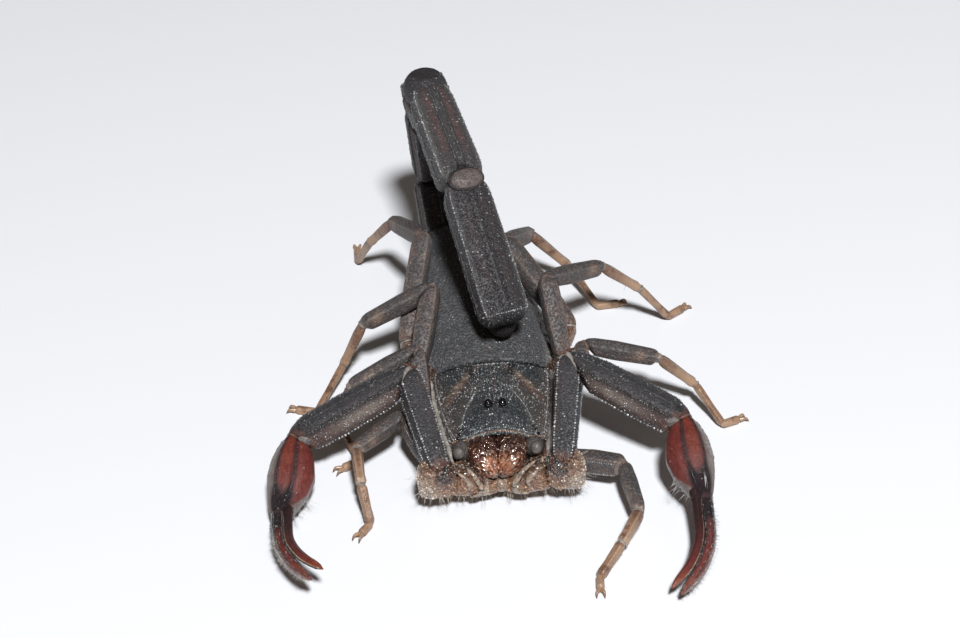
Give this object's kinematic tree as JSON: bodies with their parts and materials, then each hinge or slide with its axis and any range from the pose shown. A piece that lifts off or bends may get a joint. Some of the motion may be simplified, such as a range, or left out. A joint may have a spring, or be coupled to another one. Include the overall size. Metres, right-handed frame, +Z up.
{
  "type": "scorpion",
  "caption": "Still, life-size scorpion standing on its walking legs, tail arched forward over its back and both pincers held out in front.",
  "frame": {"origin": "middle of the model's own outline, on the floor that the feet stand on", "axes": "+Z up; the animal faces -Y and the carapace lies along Y; +X is the animal's own left side"},
  "size_m": [0.0374, 0.0486, 0.0218],
  "materials": {
    "shell": "dark grey-black, finely granular shell with pearly granules along its keels",
    "underside": "orange-brown, satin shell with sparse pale bristles",
    "leg_shell": "grey-brown shell mottled with tan",
    "foot_shell": "tan to orange-brown, satin",
    "red_shell": "brick-red to black-red shell, satin to glossy",
    "jaw": "glossy orange-red brown with darker tips",
    "eye": "glossy black"
  },
  "bodies": {
    "root": {"carapace": "shell", "tergite_1": "shell", "tergite_2": "shell", "tergite_3": "shell", "tergite_4": "shell", "tergite_5": "shell", "tergite_6": "shell", "tergite_7": "shell", "belly": "underside", "prosoma_underside": "underside", "metasoma_1": "shell", "metasoma_2": "shell", "metasoma_3": "shell", "metasoma_4": "shell", "metasoma_5": "shell", "telson_vesicle": "shell", "telson_aculeus": "red_shell", "eye_L": "eye", "eye_R": "eye", "chelicera_L": "jaw", "chelicera_R": "jaw", "pecten_L": "underside", "pecten_R": "underside", "pedipalp_L_coxa": "underside", "pedipalp_L_trochanter": "underside", "pedipalp_L_femur": "shell", "pedipalp_L_patella": "shell", "pedipalp_L_hand": "red_shell", "pedipalp_L_finger": "red_shell", "pedipalp_R_coxa": "underside", "pedipalp_R_trochanter": "underside", "pedipalp_R_femur": "shell", "pedipalp_R_patella": "shell", "pedipalp_R_hand": "red_shell", "pedipalp_R_finger": "red_shell", "leg_L1_femur": "leg_shell", "leg_L1_patella": "leg_shell", "leg_L1_foot": "foot_shell", "leg_L2_femur": "leg_shell", "leg_L2_patella": "leg_shell", "leg_L2_foot": "foot_shell", "leg_L3_femur": "leg_shell", "leg_L3_patella": "leg_shell", "leg_L3_foot": "foot_shell", "leg_L4_femur": "leg_shell", "leg_L4_patella": "leg_shell", "leg_L4_foot": "foot_shell", "leg_R1_femur": "leg_shell", "leg_R1_patella": "leg_shell", "leg_R1_foot": "foot_shell", "leg_R2_femur": "leg_shell", "leg_R2_patella": "leg_shell", "leg_R2_foot": "foot_shell", "leg_R3_femur": "leg_shell", "leg_R3_patella": "leg_shell", "leg_R3_foot": "foot_shell", "leg_R4_femur": "leg_shell", "leg_R4_patella": "leg_shell", "leg_R4_foot": "foot_shell"}
  },
  "joints": []
}
